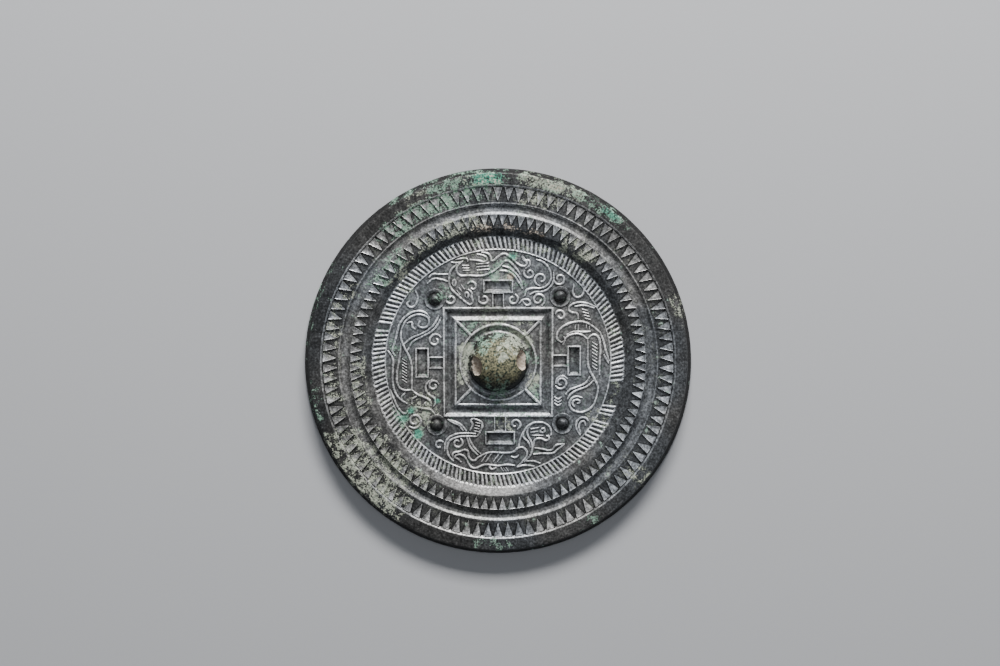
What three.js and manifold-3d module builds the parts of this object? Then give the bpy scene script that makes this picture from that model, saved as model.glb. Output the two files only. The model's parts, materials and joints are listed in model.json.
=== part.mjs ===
// Bronze mirror, one casting, lying on its polished face with the decorated back up.
// Millimetres, +Z up. The origin is the middle of the face, at its lowest point.
import * as THREE from "three";
import { mergeVertices } from "three/addons/utils/BufferGeometryUtils.js";
import Module from "manifold-3d";

const wasm = await Module();
wasm.setup();

// Widths of the rings, from the decorated field out to the edge.
const FIELD_RADIUS = 40.4;
const BORDER_LINE_WIDTH = 0.8;
const COMB_WIDTH = 3.8;
const BEVEL_WIDTH = 3.5;
const INNER_TEETH_WIDTH = 5.0;
const GROOVE_WIDTH = 3.9;
const OUTER_TEETH_WIDTH = 5.6;
const RIM_SLOPE_WIDTH = 1.0;
const RIM_WIDTH = 4.1;
const EDGE_FLARE = 1.9;

// Heights of the rings, each above the one before it.
const FIELD_THICKNESS = 2.6;
const BEVEL_RISE = 2.1;
const RIM_RISE = 0.8;
const GROOVE_DEPTH = 0.8;
const LINE_HEIGHT = 0.4;
const COMB_HEIGHT = 0.32;
const TOOTH_HEIGHT = 0.45;
const TOOTH_CLEARANCE = 0.7;
const TOOTH_EDGE = 0.4;
const TOOTH_COUNT = 102;
const INNER_TOOTH_COUNT = 100;
const COMB_COUNT = 166;
const COMB_OVERLAP = 1.25;
const COMB_SLANT = THREE.MathUtils.degToRad(14);

// The polished face bulges a little, and rests on a flat middle.
const REST_RADIUS = 32;
const FACE_RISE = 0.9;
const EDGE_BEVEL = 0.35;

// The square frame, the four Ts that stand on it and the four nipples.
const SQUARE_HALF = 19.6;
const SQUARE_BAND = 4.2;
const SQUARE_LINE_WIDTH = 0.7;
const CORNER_LINE_WIDTH = 1.1;
const BAND_DEPTH = 0.55;
const T_STEM_WIDTH = 4.3;
const T_STEM_LENGTH = 5.5;
const T_BAR_LENGTH = 10.8;
const T_BAR_WIDTH = 4.8;
const T_LINE_WIDTH = 0.7;
const T_BAND_DEPTH = 0.33;
const T_BAND_SLOPE = 1.2;
const T_SHIFTS = [0, -0.15, -0.7, -0.6];
const NIPPLE_SEAT_RADIUS = 4.0;
const NIPPLE_RADIUS = 2.15;
const NIPPLE_HEIGHT = 1.95;
const NIPPLES = [[-22.9, 22.8], [22.4, 23.8], [-22.3, -22.8], [23.3, -22.3]];

// The knob, the ring round it and the hole for its cord.
const KNOB_RADIUS = 10.6;
const KNOB_HEIGHT = 8.2;
const KNOB_MOAT_WIDTH = 2.8;
const KNOB_MOAT_DEPTH = 0.5;
const KNOB_LINE_WIDTH = 1.0;
const HOLE_WIDTH = 7.2;
const HOLE_HEIGHT = 4.9;
const HOLE_FLOOR = 1.7;
const HOLE_TURN = THREE.MathUtils.degToRad(6.5);

// Raised lines of the figures.
const FIGURE_LINE_WIDTH = 0.62;
const FIGURE_LINE_HEIGHT = 0.38;
const FIGURE_STEP = 4.4;
const CURL_STEP = 2.3;
const ROOT = 0.3;

const BODY_SEGMENTS = 48;
const KNOB_SEGMENTS = 24;
const NIPPLE_SEGMENTS = 10;

const borderRadius = FIELD_RADIUS + BORDER_LINE_WIDTH;
const combRadius = borderRadius + COMB_WIDTH;
const bevelRadius = combRadius + BEVEL_WIDTH;
const innerTeethRadius = bevelRadius + INNER_TEETH_WIDTH;
const grooveRadius = innerTeethRadius + GROOVE_WIDTH;
const outerTeethRadius = grooveRadius + OUTER_TEETH_WIDTH;
const rimInnerRadius = outerTeethRadius + RIM_SLOPE_WIDTH;
const rimOuterRadius = rimInnerRadius + RIM_WIDTH;
const mirrorRadius = rimOuterRadius + EDGE_FLARE;
const figureUnit = FIELD_RADIUS / 40.4;
const teethLevel = FIELD_THICKNESS + BEVEL_RISE;
const rimLevel = teethLevel + RIM_RISE;

// A closed mesh becomes a solid once its shared corners are merged.
function solid(geometry) {
  const bare = geometry.clone();
  bare.deleteAttribute("normal");
  bare.deleteAttribute("uv");
  const merged = mergeVertices(bare, 1e-4);
  const mesh = new wasm.Mesh({
    numProp: 3,
    vertProperties: new Float32Array(merged.attributes.position.array),
    triVerts: new Uint32Array(merged.index.array),
  });
  return new wasm.Manifold(mesh);
}

// Joins many solids in pairs, so that no join has to carry all of them.
function join(solids) {
  if (solids.length === 1) return solids[0];
  const half = Math.ceil(solids.length / 2);
  return join(solids.slice(0, half)).add(join(solids.slice(half)));
}

// Turns a profile of [radius, height] pairs, from the axis at the bottom to the axis at the top.
function turned(profile, segments, phase = 0) {
  const points = profile.map(([radius, height]) => new THREE.Vector2(radius, height));
  return new THREE.LatheGeometry(points, segments, phase).rotateX(Math.PI / 2);
}

// Places [along, outward] on one of the four sides of the field: 0 top, 1 left, 2 bottom, 3 right.
function onSide(side, along, outward) {
  const turn = side * Math.PI / 2;
  const x = along * Math.cos(turn) - outward * Math.sin(turn);
  const y = along * Math.sin(turn) + outward * Math.cos(turn);
  return [x, y];
}

// A raised line of three-cornered section, run along a curve that lies on a level.
function raisedLine(points, level, width, height, steps) {
  const section = new THREE.Shape([
    new THREE.Vector2(-height, 0),
    new THREE.Vector2(ROOT, width * 0.5 * (1 + ROOT / height)),
    new THREE.Vector2(ROOT, -width * 0.5 * (1 + ROOT / height)),
  ]);
  const route = points.map(([x, y]) => new THREE.Vector3(x, y, level));
  const extrudePath = route.length === 2
    ? new THREE.LineCurve3(route[0], route[1])
    : new THREE.CatmullRomCurve3(route, false, "centripetal");
  return solid(new THREE.ExtrudeGeometry(section, { steps, extrudePath, bevelEnabled: false }));
}

function bodyProfile() {
  const faceArc = [0.55, 1].map((share) => {
    const radius = THREE.MathUtils.lerp(REST_RADIUS, mirrorRadius - EDGE_BEVEL, share);
    return [radius, FACE_RISE * share * share];
  });
  const grooveSlope = GROOVE_WIDTH * 0.28;
  return [
    [0, 0],
    [REST_RADIUS, 0],
    ...faceArc,
    [mirrorRadius, FACE_RISE + EDGE_BEVEL],
    [rimOuterRadius, rimLevel],
    [rimInnerRadius, rimLevel],
    [outerTeethRadius, teethLevel],
    [grooveRadius, teethLevel],
    [grooveRadius - grooveSlope, teethLevel - GROOVE_DEPTH],
    [innerTeethRadius + grooveSlope, teethLevel - GROOVE_DEPTH],
    [innerTeethRadius, teethLevel],
    [bevelRadius, teethLevel],
    [combRadius, FIELD_THICKNESS],
    [borderRadius, FIELD_THICKNESS],
    [borderRadius - BORDER_LINE_WIDTH / 2, FIELD_THICKNESS + LINE_HEIGHT],
    [FIELD_RADIUS, FIELD_THICKNESS],
    [0, FIELD_THICKNESS],
  ];
}

// A band of flat-topped teeth that point inward from a common root ring.
function teethBand(count, tipRadius, baseRadius, rootRadius) {
  const pitch = 2 * Math.PI / count;
  const at = (radius, angle) => new THREE.Vector2(radius * Math.cos(angle), radius * Math.sin(angle));
  const rootStep = 2 * Math.PI / BODY_SEGMENTS;
  const outline = new THREE.Shape(
    Array.from({ length: BODY_SEGMENTS }, (_, index) => at(rootRadius, index * rootStep)),
  );
  const edge = Array.from({ length: count }, (_, index) => [
    at(baseRadius, index * pitch),
    at(tipRadius, (index + 0.5) * pitch),
  ]).flat();
  outline.holes.push(new THREE.Path(edge));
  const band = new THREE.ExtrudeGeometry(outline, { depth: TOOTH_HEIGHT + ROOT, bevelEnabled: false });
  return solid(band.translate(0, 0, teethLevel - ROOT));
}

// Short slanting strokes between the field's border line and the bevel.
function combStrokes() {
  const from = borderRadius - BORDER_LINE_WIDTH / 2;
  const to = combRadius + BEVEL_WIDTH * LINE_HEIGHT / BEVEL_RISE;
  const lean = (to - from) * Math.tan(COMB_SLANT) / combRadius;
  const width = 2 * Math.PI * to / COMB_COUNT * COMB_OVERLAP;
  return Array.from({ length: COMB_COUNT }, (_, index) => {
    const angle = index * 2 * Math.PI / COMB_COUNT;
    const ends = [[from, angle - lean / 2], [to, angle + lean / 2]];
    const route = ends.map(([radius, turn]) => [radius * Math.cos(turn), radius * Math.sin(turn)]);
    return raisedLine(route, FIELD_THICKNESS, width, COMB_HEIGHT, 1);
  });
}

// A square ring is a turned profile of four sides.
function squareRing(profile) {
  const corners = profile.map(([half, height]) => [half * Math.SQRT2, height]);
  return solid(turned(corners, 4, Math.PI / 4).translate(0, 0, FIELD_THICKNESS));
}

// The square frame: a trough between two raised lines.
const squareOuter = SQUARE_HALF + SQUARE_LINE_WIDTH / 2;
const squareInner = SQUARE_HALF - SQUARE_BAND - SQUARE_LINE_WIDTH / 2;

function squareLines() {
  const crestOut = squareOuter - SQUARE_LINE_WIDTH / 2;
  const crestIn = squareInner + SQUARE_LINE_WIDTH / 2;
  return squareRing([
    [squareInner, -ROOT], [squareOuter, -ROOT], [squareOuter, 0], [crestOut, LINE_HEIGHT],
    [crestIn, LINE_HEIGHT], [squareInner, 0], [squareInner, -ROOT],
  ]);
}

function squareTrough() {
  const crestOut = squareOuter - SQUARE_LINE_WIDTH / 2;
  const crestIn = squareInner + SQUARE_LINE_WIDTH / 2;
  const middle = (crestOut + crestIn) / 2;
  return squareRing([
    [middle, -BAND_DEPTH], [crestOut, LINE_HEIGHT], [crestOut, LINE_HEIGHT + ROOT],
    [crestIn, LINE_HEIGHT + ROOT], [crestIn, LINE_HEIGHT], [middle, -BAND_DEPTH],
  ]);
}

// One raised line from each inner corner of the square to the ring round the knob.
function cornerLines() {
  const corner = squareInner;
  const ring = (knobMoatRadius + KNOB_LINE_WIDTH / 2) * Math.SQRT1_2;
  return [[1, 1], [-1, 1], [-1, -1], [1, -1]].map(([x, y]) => raisedLine(
    [[corner * x, corner * y], [ring * x, ring * y]],
    FIELD_THICKNESS, CORNER_LINE_WIDTH, LINE_HEIGHT, 1,
  ));
}

// The T outline, grown or shrunk by a margin; its stem runs down into the square's line.
function tOutline(margin) {
  const stem = T_STEM_WIDTH / 2 + margin;
  const bar = T_BAR_LENGTH / 2 + margin;
  const foot = SQUARE_HALF - SQUARE_LINE_WIDTH * 0.6 - margin;
  const neck = SQUARE_HALF + T_STEM_LENGTH - margin;
  const top = SQUARE_HALF + T_STEM_LENGTH + T_BAR_WIDTH + margin;
  return new THREE.Shape([
    new THREE.Vector2(-stem, foot), new THREE.Vector2(stem, foot), new THREE.Vector2(stem, neck),
    new THREE.Vector2(bar, neck), new THREE.Vector2(bar, top), new THREE.Vector2(-bar, top),
    new THREE.Vector2(-bar, neck), new THREE.Vector2(-stem, neck),
  ]);
}

function sideSolid(geometry, side) {
  const shift = T_SHIFTS[side] * figureUnit;
  return solid(geometry.translate(shift, 0, 0).rotateZ(side * Math.PI / 2));
}

function tFrame(side) {
  const shape = tOutline(0);
  const body = new THREE.ExtrudeGeometry(shape, {
    depth: ROOT, bevelEnabled: true, bevelSegments: 1,
    bevelThickness: LINE_HEIGHT, bevelSize: T_LINE_WIDTH * 0.45, bevelOffset: -T_LINE_WIDTH * 0.45,
  });
  return sideSolid(body.translate(0, 0, FIELD_THICKNESS - ROOT), side);
}

// One hollow of a T, the tray in its bar or the gutter down its stem, with sloping sides.
function tHollow(side, width, from, to) {
  const half = width / 2;
  const shape = new THREE.Shape([
    new THREE.Vector2(-half, from), new THREE.Vector2(half, from),
    new THREE.Vector2(half, to), new THREE.Vector2(-half, to),
  ]);
  const cut = new THREE.ExtrudeGeometry(shape, {
    depth: ROOT, bevelEnabled: true, bevelSegments: 1,
    bevelThickness: LINE_HEIGHT + T_BAND_DEPTH, bevelSize: T_BAND_SLOPE, bevelOffset: -T_BAND_SLOPE,
  });
  return sideSolid(cut.translate(0, 0, FIELD_THICKNESS + LINE_HEIGHT), side);
}

function tHollows(side) {
  const margin = T_LINE_WIDTH * 0.55;
  const foot = SQUARE_HALF + SQUARE_LINE_WIDTH / 2;
  const neck = SQUARE_HALF + T_STEM_LENGTH;
  return [
    tHollow(side, T_BAR_LENGTH - 2 * margin, neck + margin, neck + T_BAR_WIDTH - margin),
    tHollow(side, T_STEM_WIDTH - 2 * margin, foot, neck - margin / 2),
  ];
}

function nipple([x, y]) {
  const seat = NIPPLE_SEAT_RADIUS;
  const dome = [0, 0.33, 0.66].map((share) => {
    const angle = share * Math.PI / 2;
    const lift = LINE_HEIGHT / 2 + (NIPPLE_HEIGHT - LINE_HEIGHT / 2) * Math.sin(angle);
    return [NIPPLE_RADIUS * Math.cos(angle), lift];
  });
  const profile = [
    [0, -ROOT], [seat, -ROOT], [seat, 0], [seat * 0.9, LINE_HEIGHT],
    [seat * 0.7, LINE_HEIGHT / 3], ...dome, [0, NIPPLE_HEIGHT],
  ];
  const place = new THREE.Vector3(x * figureUnit, y * figureUnit, FIELD_THICKNESS);
  return solid(turned(profile, NIPPLE_SEGMENTS).translate(place.x, place.y, place.z));
}

// The moat is cut first, then the knob and the line round the moat are joined on.
const knobMoatRadius = KNOB_RADIUS + KNOB_MOAT_WIDTH;
const knobFoot = FIELD_THICKNESS - KNOB_MOAT_DEPTH;

function knobMoat() {
  const crest = knobMoatRadius + KNOB_LINE_WIDTH / 2;
  const lip = FIELD_THICKNESS + LINE_HEIGHT;
  return solid(turned([
    [0, knobFoot], [KNOB_RADIUS + KNOB_MOAT_WIDTH * 0.3, knobFoot],
    [crest, lip], [crest, lip + ROOT], [0, lip + ROOT],
  ], KNOB_SEGMENTS));
}

function knobLine() {
  const crest = knobMoatRadius + KNOB_LINE_WIDTH / 2;
  return solid(turned([
    [0, FIELD_THICKNESS - ROOT], [knobMoatRadius + KNOB_LINE_WIDTH, FIELD_THICKNESS - ROOT],
    [knobMoatRadius + KNOB_LINE_WIDTH, FIELD_THICKNESS], [crest, FIELD_THICKNESS + LINE_HEIGHT],
    [0, FIELD_THICKNESS + LINE_HEIGHT],
  ], KNOB_SEGMENTS));
}

function knob() {
  const dome = [0, 0.16, 0.34, 0.54, 0.76].map((share) => {
    const angle = share * Math.PI / 2;
    return [KNOB_RADIUS * Math.cos(angle), knobFoot + KNOB_HEIGHT * Math.sin(angle)];
  });
  return solid(turned([
    [0, knobFoot - ROOT], [KNOB_RADIUS, knobFoot - ROOT], ...dome, [0, knobFoot + KNOB_HEIGHT],
  ], KNOB_SEGMENTS));
}

// The cord's hole is an arch that runs across the knob, a little turned.
function cordHole() {
  const half = HOLE_WIDTH / 2;
  const shoulder = HOLE_HEIGHT * 0.5;
  const arch = new THREE.Shape();
  arch.moveTo(-half, 0);
  arch.lineTo(half, 0);
  arch.lineTo(half, HOLE_HEIGHT - shoulder);
  arch.absellipse(0, HOLE_HEIGHT - shoulder, half, shoulder, 0, Math.PI, false);
  const length = 2 * KNOB_RADIUS + 2;
  const cut = new THREE.ExtrudeGeometry(arch, { depth: length, curveSegments: 6, bevelEnabled: false });
  cut.translate(0, 0, -length / 2);
  cut.rotateX(Math.PI / 2).rotateZ(Math.PI / 2 + HOLE_TURN);
  return solid(cut.translate(0, 0, knobFoot + HOLE_FLOOR));
}

// A spiral that winds inward from its outer end; turns below zero wind clockwise.
function volute(along, outward, radius, startDegrees, turns) {
  const count = Math.ceil(Math.abs(turns) * 8);
  const points = Array.from({ length: count + 1 }, (_, index) => {
    const share = index / count;
    const reach = radius * (1 - 0.68 * share);
    const angle = THREE.MathUtils.degToRad(startDegrees) + turns * share * 2 * Math.PI;
    return [along + reach * Math.cos(angle), outward + reach * Math.sin(angle)];
  });
  return Object.assign(points, { curl: true });
}

// The four creatures. Each point is [along, outward] on its own side of the field, in figure
// units, of which the field's radius holds 40.4. Short hatching is left off these solids.
const horned = [
  // neck, jaw and snout
  [
    [-14.8, 35.4], [-16.8, 33.6], [-17.6, 30.6], [-17.1, 27], [-15, 24.7],
    [-12.4, 22.4], [-10.2, 20.8],
  ],
  [[-10.2, 20.8], [-9.2, 21.7], [-9.6, 24], [-9.6, 25.3], [-11, 26.5]],
  // crest and mane
  [[-16.9, 36.2], [-14.5, 36], [-12.4, 36.6]],
  [[-15.5, 37], [-13, 37.5], [-11.2, 37.3], [-10.9, 36.2]],
  // shoulder and belly
  [
    [-12.4, 36.6], [-14.4, 35.2], [-15, 33.4], [-13.9, 31.6], [-11, 31.4],
    [-5, 31.5], [-2, 32.8], [0.6, 34.7],
  ],
  [[0.6, 34.7], [2.9, 36.8], [5, 35.6], [7, 33.4], [7.9, 31.8]],
  // back and wing
  [[-10.2, 37.1], [-7, 36.8], [-4.6, 36.5], [-4, 37.4], [-5, 38.5], [-7.6, 39.1]],
  [
    [-6, 39.8], [-3.7, 39.3], [-2.6, 38], [-2.3, 36.7], [-0.2, 38.1],
    [2.2, 39.3], [4.4, 38.1], [6.6, 36],
  ],
  [[6.6, 36], [8.4, 34.9], [10, 35.1], [10.3, 36.2], [9, 37.3], [8.6, 38.6]],
  // hind legs
  [[0.6, 33.2], [3.4, 32.9], [5.6, 31.5], [7.5, 28.9], [8.8, 26.6]],
  [[1.6, 34.8], [3.8, 34.2], [6.3, 32.2], [8, 29.8], [8.8, 26.6]],
  // foreleg
  [[-18, 29.2], [-20.6, 30], [-23.3, 30.2], [-25.6, 28.5]],
  [[-17.9, 31.9], [-21, 31.8], [-23.8, 31.8], [-25, 30.6]],
  // tail
  [
    [13.6, 37.2], [16.3, 36.2], [18.4, 33.8], [19.1, 30.8], [18.2, 28.4],
    [15.8, 26.9], [12, 26.8], [10, 25.9], [9.7, 24],
  ],
  [[19.9, 32.8], [20, 29.8], [18.6, 27.1], [16, 25.6], [13.2, 25.4], [11.4, 24.5]],
  [[8.9, 38.4], [9.8, 37], [11.2, 36.7], [11.3, 35.2], [9.9, 33.9]],
  volute(11.3, 32.2, 2.1, 140, 1.1),
  volute(15.4, 30.1, 2.6, 265, -1),
  volute(22.2, 30.2, 2.4, 150, 1.2),
  volute(14.5, 22.7, 2.5, -60, 1.2),
  volute(-9.3, 27.4, 2, 150, -0.8),
  // curls beside the T and the nipple
  volute(-5.1, 22.9, 2.1, 145, 1),
  volute(5.3, 22.8, 2.1, 70, -1),
  volute(-17, 22.9, 2, 140, 1.1),
  [[7.4, 21.2], [9.2, 22.7], [11.2, 22.5], [11.5, 21.2], [10.2, 20.7], [8.9, 22.1]],
];

const plumed = [
  // head, jaw and neck
  [[-19.1, 22.8], [-17.3, 24.4], [-16.8, 27], [-16.3, 29.5]],
  [
    [-16.3, 23.6], [-14.8, 22.7], [-13, 23.2], [-11.6, 25.2], [-9.4, 26.2],
    [-7.4, 25.5], [-6.2, 23.6],
  ],
  [[-16, 24.2], [-14.2, 24.5], [-12.9, 26.2], [-11.9, 28.8], [-10, 31.3]],
  [[-15.2, 31.2], [-13.4, 31], [-12.3, 29.4]],
  // back and crest
  [[-15, 32.9], [-13.5, 35.3], [-11.6, 36.9], [-8, 38], [-3, 38.1], [1, 38], [3, 38.9], [4.4, 40]],
  [[-17.6, 32.6], [-18.6, 33.6], [-17.1, 35.8], [-13.5, 37.6], [-9.5, 39.3]],
  [[-14, 34.7], [-12.6, 34.9], [-11, 33.5]],
  // body
  [[-10, 31.3], [-10, 34.4], [-8.6, 36.1], [-5, 36.6], [-1, 36.1], [3, 35.4], [7, 35.2]],
  [[-10, 31.3], [-5, 31.2], [-1, 31.3], [2.4, 32.3], [5.4, 33.9], [9, 35.1], [12, 34.9]],
  // tail
  [
    [12, 34.9], [15, 33.3], [17, 30.4], [17.2, 27.6], [15.8, 25.2],
    [13.6, 25.2], [12.5, 27], [13.4, 28.8], [15.2, 28],
  ],
  [
    [2.3, 37.2], [4, 38.2], [6.6, 37.5], [10.5, 36.5], [14.2, 35.4],
    [16.9, 33], [18.5, 29.6], [18, 26.4], [16, 24.6],
  ],
  [[6.6, 34], [8.6, 31.6], [10.3, 27.7], [12.3, 24.5], [14.7, 22.5], [17.2, 21.4]],
  [[4.3, 32.7], [7.3, 31], [9.3, 27.4], [11.3, 24], [13.7, 21.8], [16.4, 20.6]],
  [[12, 30], [12.9, 31], [14.4, 31.1], [14.2, 33]],
  // curls
  [[26.2, 30], [23.6, 29], [21, 29.7], [20, 31.4], [21.2, 32.8], [22.3, 31.8]],
  volute(7.9, 22.8, 2.5, -65, 1.1),
  volute(-8.5, 23.4, 2, -75, 1.1),
  volute(-21.2, 30.3, 2.9, 135, 1.3),
  volute(-15.2, 25.9, 0.7, 0, 0.8),
];

const tiger = [
  // foreleg
  [[-12.7, 33.5], [-16, 33.2], [-20, 33], [-21.6, 31.7], [-24.2, 29.7]],
  [[-13.2, 31.1], [-16, 31.6], [-19.4, 31.9], [-21, 30.2], [-24.2, 29.7]],
  // neck and mane
  [
    [-9.4, 36.3], [-11.4, 34.2], [-12.4, 31.5], [-12, 28.8], [-10.7, 26.4],
    [-10.8, 24.2], [-11.8, 22.7],
  ],
  [[-11.8, 31], [-10.8, 28.8], [-9.2, 27.2], [-9.2, 25.2]],
  [
    [-7.5, 31], [-8, 28], [-9.4, 25], [-11.5, 22.7], [-14.4, 21.8],
    [-17.4, 22.4], [-19.2, 24.6], [-19.2, 26.6],
  ],
  [[-15.3, 36.8], [-13, 36], [-10.2, 36]],
  [[-13.2, 37.9], [-9.6, 37.5], [-6.8, 38.2]],
  // shoulder
  [
    [-6.8, 38.2], [-9, 36], [-10.5, 33.6], [-9.8, 31.5], [-7.6, 31],
    [-5.6, 32.6], [-3, 33], [3.4, 32.9], [6.8, 34.3],
  ],
  [[-7.7, 33.6], [-6.4, 34.6], [-4.6, 34.3]],
  // head
  [[-19.2, 26.6], [-17.5, 28.4], [-15.6, 27.7], [-13.7, 27.8], [-13.7, 30.3]],
  [[-18.3, 25.6], [-17.6, 23.8], [-15.2, 22.8], [-12.6, 23.2]],
  volute(-16.3, 24.5, 0.9, 0, 0.8),
  // back and hind leg
  [
    [-6.2, 37.6], [-3, 37.3], [0, 37.7], [2.4, 37.4], [5, 37.3],
    [7.4, 38.3], [9.3, 38.4], [10.8, 36.8],
  ],
  [[10.8, 36.8], [12, 34.6], [14.2, 33.6], [15.6, 34.5], [14.6, 35.2], [13.4, 36.4]],
  [
    [5, 33.3], [7, 34.5], [9, 35.8], [10.4, 34.8], [11.4, 32],
    [14, 32.5], [16.4, 33.3], [16.2, 35.4],
  ],
  [[0.6, 38.3], [2.2, 38.9], [3.1, 38.1], [2.4, 37.4]],
  // tail
  [[7.2, 33.9], [9.3, 31.8], [10.7, 29.5], [11.3, 27.2]],
  [[6.3, 33.4], [8.6, 31.2], [9.8, 29.2], [10.6, 27.3]],
  [[7.7, 27], [11, 26.9], [15.4, 27.4], [17.8, 28.9], [18.5, 31.5], [17.9, 34], [16.2, 36]],
  [[8, 26], [12.5, 25.8], [16.6, 26.6], [18.9, 28.8], [19.4, 32.4]],
  [[7.7, 27], [6.5, 25.2], [5.8, 22.2], [7.4, 21], [9.8, 20.9], [9.2, 22.6], [10.3, 24.8]],
  [[11.5, 25], [13.2, 22.9], [15.4, 21.7], [18.3, 20.8]],
  [[12.6, 25], [14.2, 23], [16.2, 22], [18.3, 20.8]],
  // curls
  volute(-6.2, 22.5, 2.1, 110, 1),
  volute(14.7, 29.3, 2, -120, -1.1),
  volute(21.3, 30.1, 1.8, 215, 0.8),
];

const serpent = [
  // neck that bends round the end of the T, and head
  [
    [-10.8, 36.9], [-13, 34.2], [-14.6, 31], [-14.6, 27.4], [-13.4, 24.2],
    [-11.3, 21.8], [-8.6, 21.3], [-7.2, 22.8],
  ],
  [[-7.2, 22.8], [-8.2, 24.2], [-9.6, 23.5]],
  [[-8.4, 32.3], [-10, 30.2], [-10.2, 27], [-9, 24.7], [-6.2, 23.4]],
  [[-11.2, 33.4], [-11, 30.6], [-11.1, 27.4], [-10, 24.8]],
  // back and wing
  [[-10.8, 36.9], [-8, 38], [-4, 39], [-0.4, 40.2]],
  [[-3, 38.2], [-1.4, 39], [0.4, 40]],
  // body
  [[-8.4, 32.3], [-10, 34.2], [-9.4, 36], [-6, 36.9], [0, 36.7], [4.6, 36.7]],
  [[-8.4, 32.3], [-4, 32.5], [0, 32.4], [3, 33.2], [6, 34.8], [9, 36.1], [12.4, 35.7]],
  // tail
  [
    [12.4, 35.7], [15.6, 34.4], [17.7, 31.8], [18, 28.6], [16.4, 26.2],
    [13.8, 26.1], [12.4, 28.2], [12.9, 30.5],
  ],
  [[16.2, 27.6], [14.6, 26.9], [13.6, 28.4], [14.4, 29.6], [15, 28.6]],
  [[6.6, 34.6], [8.8, 32], [10, 28.9], [11.4, 26.4], [13.4, 25.1]],
  [[5, 33.3], [7.6, 31.5], [9, 28.4], [10, 25.9], [11.7, 24.4]],
  // foreleg
  [
    [-20, 35.4], [-21.5, 31.5], [-21.4, 27.6], [-19.6, 25.5], [-18.3, 26.2],
    [-17.6, 28.6], [-15.6, 29],
  ],
  [[-19.6, 34.8], [-20.6, 31], [-20.2, 27.4]],
  // curls
  volute(7.4, 22.8, 2.4, -65, 1.2),
  [[6, 25.1], [5, 23.4], [6, 21.3], [7.8, 20.9]],
  volute(-17, 22.5, 2, -100, -1),
  [[26.6, 29.8], [23.4, 28.3], [20.6, 29.3], [20.3, 31.8], [21.4, 32.7]],
  [[26, 30], [22.6, 29.4], [21.4, 31], [23, 31.7]],
  [[-29, 30.6], [-26, 31], [-23.7, 29.6], [-24.2, 27.4], [-28.6, 27.4]],
];

function routeLength(route) {
  return route.slice(1).reduce(
    (sum, [x, y], index) => sum + Math.hypot(x - route[index][0], y - route[index][1]), 0,
  );
}

function figureLines() {
  return [horned, plumed, tiger, serpent].flatMap((creature, side) => creature.map((stroke) => {
    const route = stroke.map(([along, outward]) => (
      onSide(side, along * figureUnit, outward * figureUnit)
    ));
    const step = stroke.curl ? CURL_STEP : FIGURE_STEP;
    const steps = Math.max(2, Math.round(routeLength(route) / step));
    return raisedLine(route, FIELD_THICKNESS, FIGURE_LINE_WIDTH, FIGURE_LINE_HEIGHT, steps);
  }));
}

function castMirror() {
  const sides = [0, 1, 2, 3];
  const footRadius = outerTeethRadius * Math.cos(Math.PI / BODY_SEGMENTS) - TOOTH_EDGE / 4;
  const rootRadius = rimInnerRadius - RIM_SLOPE_WIDTH / 5;
  const blank = solid(turned(bodyProfile(), BODY_SEGMENTS)).add(join([
    teethBand(TOOTH_COUNT, grooveRadius + TOOTH_CLEARANCE, footRadius, rootRadius),
    teethBand(
      INNER_TOOTH_COUNT, bevelRadius + TOOTH_CLEARANCE, innerTeethRadius - TOOTH_EDGE, innerTeethRadius,
    ),
  ]));
  const raised = join([
    ...combStrokes(), ...figureLines(), ...cornerLines(), squareLines(), knobLine(),
    ...sides.map(tFrame), ...NIPPLES.map(nipple),
  ]);
  const cut = join([squareTrough(), knobMoat(), ...sides.flatMap(tHollows)]);
  return blank.add(raised).subtract(cut).add(knob()).subtract(cordHole());
}

function geometryOf(manifold) {
  const { vertProperties, triVerts } = manifold.getMesh();
  const indexed = new THREE.BufferGeometry();
  indexed.setAttribute("position", new THREE.BufferAttribute(vertProperties, 3));
  indexed.setIndex(new THREE.BufferAttribute(triVerts, 1));
  const flat = indexed.toNonIndexed();
  flat.computeVertexNormals();
  return flat;
}

const bronze = new THREE.MeshStandardMaterial({ color: 0x5d5f5c, roughness: 0.45, metalness: 0.85 });
const mirror = new THREE.Mesh(geometryOf(castMirror()), bronze);
mirror.name = "mirror";

const model = new THREE.Group();
model.add(mirror);
export default model;
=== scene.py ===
import json
import math
import random

import bmesh
import bpy
from mathutils import Matrix, Vector, noise

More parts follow.
